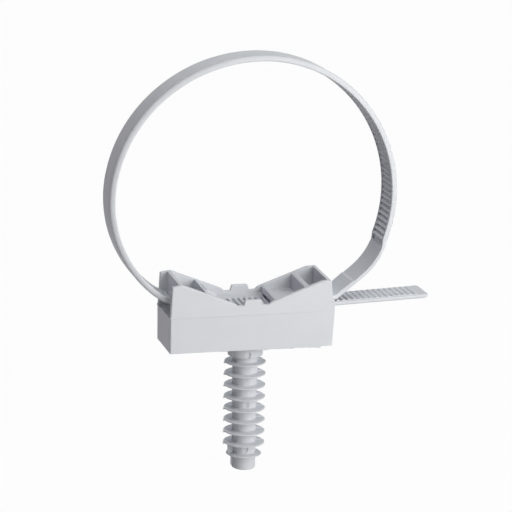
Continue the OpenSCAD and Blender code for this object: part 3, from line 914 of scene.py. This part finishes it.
def finish_tree(tree, geometry, paint):
    real = node(tree, "GeometryNodeRealizeInstances", {"Geometry": geometry})
    painted = node(tree, "GeometryNodeSetMaterial", {"Geometry": real.outputs[0], "Material": paint})
    node(tree, "NodeGroupOutput", {"Geometry": painted.outputs[0]})


print("node tree helpers ready")

# %% [markdown]
# ## The strap's tree
# The distance along the strap, divided by the pitch, counts the teeth, and its fraction is the
# place within one tooth. A steep rise and a long fall of that fraction make the saw. A very
# small nudge keeps rounding from putting a tooth's first point at the end of the one before.

# %% Strap node tree
PHASE_NUDGE, END_NUDGE = 0.0005, 0.01


def strap_tree():
    tree, size = new_tree("toothed strap", [
        ("Section", "Object"), ("Pitch", "Float"), ("First Tooth", "Float"), ("Last Tooth", "Float"),
        ("Steep Share", "Float"), ("Crest Share", "Float"), ("Material", "Material"),
    ])
    surface = swept(tree, size["Geometry"], size["Section"], True)
    way = value_of(tree, "way")
    turns = math_node(tree, "DIVIDE", math_node(tree, "SUBTRACT", way, size["First Tooth"]), size["Pitch"])
    phase = math_node(tree, "FRACT", math_node(tree, "ADD", turns, PHASE_NUDGE))
    rise = math_node(tree, "DIVIDE", phase, size["Steep Share"])
    left, slope = (math_node(tree, "SUBTRACT", 1.0, share) for share in (phase, size["Crest Share"]))
    fall = math_node(tree, "DIVIDE", left, slope)
    tooth = math_node(tree, "MINIMUM", rise, fall, clamp=True)
    first, last = (math_node(tree, "SUBTRACT", size[n], END_NUDGE) for n in ("First Tooth", "Last Tooth"))
    begun, going = math_node(tree, "GREATER_THAN", way, first), math_node(tree, "LESS_THAN", way, last)
    toothed = math_node(tree, "MULTIPLY", tooth, math_node(tree, "MULTIPLY", begun, going))
    web_value = value_of(tree, "web")
    height = math_node(tree, "SUBTRACT", value_of(tree, "crest"), web_value)
    web_here = total(tree, (web_value, 1.0), (height, toothed))
    edge_value, crown_value = value_of(tree, "edge"), value_of(tree, "crown")
    deep = total(
        tree, (value_of(tree, "by_edge"), edge_value), (value_of(tree, "by_rail"), value_of(tree, "rail")),
        (value_of(tree, "by_web"), web_here), (value_of(tree, "by_lift"), value_of(tree, "lift")),
        (value_of(tree, "in_own"), crown_value),
    )
    across = total(
        tree, (value_of(tree, "by_half"), value_of(tree, "half")),
        (value_of(tree, "by_edge_across"), edge_value),
        (value_of(tree, "by_rail_w"), value_of(tree, "rail_w")),
        (value_of(tree, "across_own"), crown_value),
    )
    start, toward = (value_of(tree, name, "FLOAT_VECTOR") for name in ("outer", "inward"))
    inward = vector_node(tree, "SCALE", {0: toward, "Scale": deep})
    sideways = node(tree, "ShaderNodeCombineXYZ", {"Y": across}).outputs[0]
    moved = vector_node(tree, "ADD", {0: inward, 1: sideways})
    place = vector_node(tree, "ADD", {0: start, 1: moved})
    placed = node(tree, "GeometryNodeSetPosition", {"Geometry": surface, "Position": place})
    finish_tree(tree, placed.outputs[0], size["Material"])
    return tree


strap = grow(
    path, strap_tree(), section=section, pitch=TOOTH_PITCH, first_tooth=TEETH_S,
    last_tooth=TEETH_END, steep_share=STEEP_SHARE, crest_share=CREST_SHARE, material=NYLON_PAINT,
)
bpy.data.objects.remove(section)
print("strap faces:", len(strap.data.polygons))

# %% [markdown]
# ## Finned plug
# The plug is a turned shape: a collar, a slim core and a row of thin fins that fold back in
# the hole. The mould's two halves sit a little out of line, so that each fin has a small step
# at the left and right, a nub of flash at the left and a low ridge at the right. A section is
# a list of points, each with its distance from the axis and its height, and a ring carries
# it round.

# %% Plug sections
PLUG_L, CORE_R, TIP_R, TIP_CUT, COLLAR_R, COLLAR_L = 31.5, 3.0, 2.78, 0.35, 4.17, 3.2
FIN_R, LAST_FIN_R, FIN_T, FIN_FIRST, FIN_PITCH, FIN_COUNT = 4.92, 4.2, 0.4, 4.94, 2.89, 8
MOULD_SHIFT, MOULD_BLEND, STEP_ANGLE, RING_STEPS = 0.07, 0.07, 1.1, 48
RIM_T, RIM_CUT, CORE_FILLET, FIN_IN = 0.3, 0.06, 0.2, 0.8


def turning_ring():
    half_turn = np.concatenate([[0], np.linspace(STEP_ANGLE, 180 - STEP_ANGLE, RING_STEPS)])
    turn = np.radians(np.concatenate([half_turn, half_turn + 180]))
    points = np.stack([np.cos(turn), np.sin(turn), 0 * turn], 1)
    return give(mesh_object("ring", points, chain_edges(len(turn), True)), turn=turn)


def plug_section(name, rows, closed):
    rows = np.array(rows, float)
    points = np.stack([rows[:, 0], 0 * rows[:, 0], rows[:, 1]], 1)
    section = mesh_object(name, points, chain_edges(len(rows), closed))
    return give(section, from_axis=rows[:, 0], height=rows[:, 1])


def core_rows():
    cut = (COLLAR_R - CORE_R) / 3
    fillet = [
        (CORE_R + CORE_FILLET * (1 - math.sin(a)), -COLLAR_L - CORE_FILLET * (1 - math.cos(a)))
        for a in np.radians([0, 30, 60, 90])
    ]
    tip = [
        (TIP_R - TIP_CUT * (1 - math.cos(a)), -PLUG_L + TIP_CUT * (1 - math.sin(a)))
        for a in np.radians([0, 22.5, 45, 67.5, 90])
    ]
    return [
        (0, SINK), (COLLAR_R, SINK), (COLLAR_R, -COLLAR_L + cut),
        (COLLAR_R - 0.25 * cut, -COLLAR_L + 0.35 * cut), (COLLAR_R - cut, -COLLAR_L),
        *fillet, *tip, (0, -PLUG_L),
    ]


def fin_rows(radius):
    """A flat fin with an upright rim and small fillets where it meets the core."""
    low, high = FIN_T / 2 - RIM_T / 2, FIN_T / 2 + RIM_T / 2
    corner = radius - RIM_CUT
    rim = [(corner, low), (radius, low + RIM_CUT), (radius, high - RIM_CUT), (corner, high)]
    inside, skirt, under, over = CORE_R - FIN_IN, CORE_R - 0.05, -0.12, FIN_T + 0.16
    lower = [(inside, under), (skirt, under), (CORE_R + 0.2, 0)]
    upper = [(CORE_R + 0.25, FIN_T), (skirt, over), (inside, over)]
    return lower + rim + upper


print("points of the core's section:", len(core_rows()), "of a fin's:", len(fin_rows(FIN_R)))

# %% [markdown]
# ## The plug's trees
# One tree turns the core and the fins alike. It moves the front half a little to the right and
# the back half to the left, as the mould does. Another one puts the finished fin on a line of
# points down the plug, and makes the instances real.

# %% Plug node trees


def turned_tree():
    tree, size = new_tree("turned shape", [
        ("Section", "Object"), ("Mould Shift", "Float"), ("Mould Blend", "Float"), ("Material", "Material"),
    ])
    surface = swept(tree, size["Geometry"], size["Section"], False)
    turn, radius = value_of(tree, "turn"), value_of(tree, "from_axis")
    x = math_node(tree, "MULTIPLY", radius, math_node(tree, "COSINE", turn))
    y = math_node(tree, "MULTIPLY", radius, math_node(tree, "SINE", turn))
    blend = math_node(tree, "DIVIDE", y, size["Mould Blend"])
    side = math_node(tree, "MINIMUM", math_node(tree, "MAXIMUM", blend, -1.0), 1.0)
    x = math_node(tree, "SUBTRACT", x, math_node(tree, "MULTIPLY", side, size["Mould Shift"]))
    place = node(tree, "ShaderNodeCombineXYZ", {"X": x, "Y": y, "Z": value_of(tree, "height")})
    placed = node(tree, "GeometryNodeSetPosition", {"Geometry": surface, "Position": place.outputs[0]})
    finish_tree(tree, placed.outputs[0], size["Material"])
    return tree


def row_tree():
    tree, size = new_tree("row down the plug", [
        ("Fin", "Object"), ("Count", "Int"), ("Depth", "Float"), ("Pitch", "Float"), ("Material", "Material"),
    ])
    start = node(tree, "ShaderNodeCombineXYZ", {"Z": math_node(tree, "MULTIPLY", size["Depth"], -1.0)})
    step = node(tree, "ShaderNodeCombineXYZ", {"Z": math_node(tree, "MULTIPLY", size["Pitch"], -1.0)})
    places = {"Count": size["Count"], "Start Location": start.outputs[0], "Offset": step.outputs[0]}
    line = node(tree, "GeometryNodeMeshLine", places)
    repeated = node(tree, "GeometryNodeObjectInfo", {"Object": size["Fin"]})
    inputs = {"Points": line.outputs[0], "Instance": repeated.outputs["Geometry"]}
    finish_tree(tree, node(tree, "GeometryNodeInstanceOnPoints", inputs).outputs[0], size["Material"])
    return tree


TURNED, ROW = turned_tree(), row_tree()
print("trees:", TURNED.name, "and", ROW.name)

# %% [markdown]
# ## Core and fins
# Each fin gets its flash before it is repeated. The last fin is smaller and stays plain.

# %% Core and fins


def turned(name, rows, closed):
    section = plug_section("plug section", rows, closed)
    piece = turning_ring()
    piece.name = name
    mould = {"mould_shift": MOULD_SHIFT, "mould_blend": MOULD_BLEND}
    grow(piece, TURNED, section=section, material=NYLON_PAINT, **mould)
    bpy.data.objects.remove(section)
    return piece


def fin_depth(i):
    return FIN_FIRST + i * FIN_PITCH


def fin(radius):
    """A fin with the flash of the mould's joint: a nub at the left, a low ridge at the right."""
    piece = turned("fin", fin_rows(radius), True)
    nub = [
        (-radius + 0.5, 0.02), (-radius - 0.3, -0.1), (-radius - 0.36, 0.12),
        (-radius - 0.26, 0.34), (-radius + 0.5, 0.38),
    ]
    ridge = [
        (CORE_R - 0.3, 0.2), (radius - 0.15, 0.2), (radius - 0.25, FIN_T + 0.14), (CORE_R - 0.3, FIN_T + 0.3),
    ]
    flash = [prism("nub", nub, -0.16, 0.1, along_y), prism("ridge", ridge, -0.02, 0.14, along_y)]
    return combine(piece, flash, "UNION")


def row_of(name, one_fin, count, depth, pitch=0.0):
    row = mesh_object(name, [])
    grow(row, ROW, fin=one_fin, count=count, depth=depth, pitch=pitch, material=NYLON_PAINT)
    bpy.data.objects.remove(one_fin)
    print(name, "faces:", len(row.data.polygons))
    return row


core = turned("plug core", core_rows(), False)
fins = row_of("fins", fin(FIN_R), FIN_COUNT, FIN_FIRST, FIN_PITCH)
small_fin = turned("fin", fin_rows(LAST_FIN_R), True)
last_fin = row_of("last fin", small_fin, 1, fin_depth(FIN_COUNT))

# %% [markdown]
# ## Ejector marks and wing
# Three round marks are sunk in the plug's front where pins push the clip out of the mould. A
# flat wing and a thin rib on the left, past the last full fin, keep the plug from turning.

# %% Ejector marks and wing
MARK_R, MARK_DEPTH, MARK_X, MARK_POINTS, MARK_CLEAR = 0.75, 0.25, -0.4, 40, 1
COLLAR_MARK, UPPER_MARK, LOWER_MARK = 0.7, 3.48, 7.4
WING_T, WING_OUT, RIB_OUT, WING_ROOT_X, WING_EDGE_R = 0.6, 1.2, 0.4, -1, 0.1


def core_at(depth):
    return CORE_R + (TIP_R - CORE_R) * (depth - COLLAR_L) / (PLUG_L - COLLAR_L)


def ejector_mark(depth, surface_r):
    turns = np.linspace(0, 2 * math.pi, MARK_POINTS + 1)[:-1]
    circle = [(MARK_R * math.cos(a) + MARK_X, -depth + MARK_R * math.sin(a)) for a in turns]
    return prism("mark", circle, -surface_r + MARK_DEPTH, -surface_r - MARK_CLEAR, along_y)


def core_mark(fins_down):
    depth = fin_depth(fins_down)
    return ejector_mark(depth, core_at(depth))


def wing(out, top, bottom):
    outline = [(WING_ROOT_X, top), (-out, top), (-out, bottom), (WING_ROOT_X, bottom)]
    plate = prism("wing", outline, -WING_T / 2, WING_T / 2, along_y)
    return soften(plate, lambda e: WING_EDGE_R, WING_EDGE_R)


marks = [ejector_mark(COLLAR_MARK * COLLAR_L, COLLAR_R), core_mark(UPPER_MARK), core_mark(LOWER_MARK)]
combine(core, marks, "DIFFERENCE")
wing_r = core_at(fin_depth(FIN_COUNT))
wing_top, rib_top = (FIN_T / 2 - fin_depth(i) for i in (FIN_COUNT - 1, FIN_COUNT))
wings = [
    wing(wing_r + WING_OUT, wing_top, rib_top),
    wing(wing_r + RIB_OUT, rib_top, -PLUG_L + 2 * TIP_CUT),
]
print("plug core with marks, faces:", len(core.data.polygons))

# %% [markdown]
# ## One moulding
# On the real clip everything is one piece of plastic, so the solids are joined into one
# closed mesh. Normals are weighted by face area afterwards: flat walls then stay flat, and
# only the small radii between them shade round.

# %% One moulding
SHARP_ANGLE = math.radians(38)

clip = combine(base, [tongue, strap, core, fins, last_fin, *wings], "UNION")
clip.name = "clip_moulding"
clip.data.name = "clip_moulding"
edit(clip, weld, face_outward)
clip.data.transform(Matrix.Scale(MM, 4))
clip.data.materials.clear()
clip.data.materials.append(NYLON_PAINT)
clip.data.polygons.foreach_set("material_index", np.zeros(len(clip.data.polygons), np.int32))
clip.data.polygons.foreach_set("use_smooth", np.ones(len(clip.data.polygons), bool))
clip.data.set_sharp_from_angle(angle=SHARP_ANGLE)
weighted = clip.modifiers.new("flat walls", "WEIGHTED_NORMAL")
weighted.keep_sharp = True
settle(clip)
print("clip faces:", len(clip.data.polygons))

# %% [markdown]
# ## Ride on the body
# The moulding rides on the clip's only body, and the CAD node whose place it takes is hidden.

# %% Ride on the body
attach(clip, "root")
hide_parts("conduit_clip")
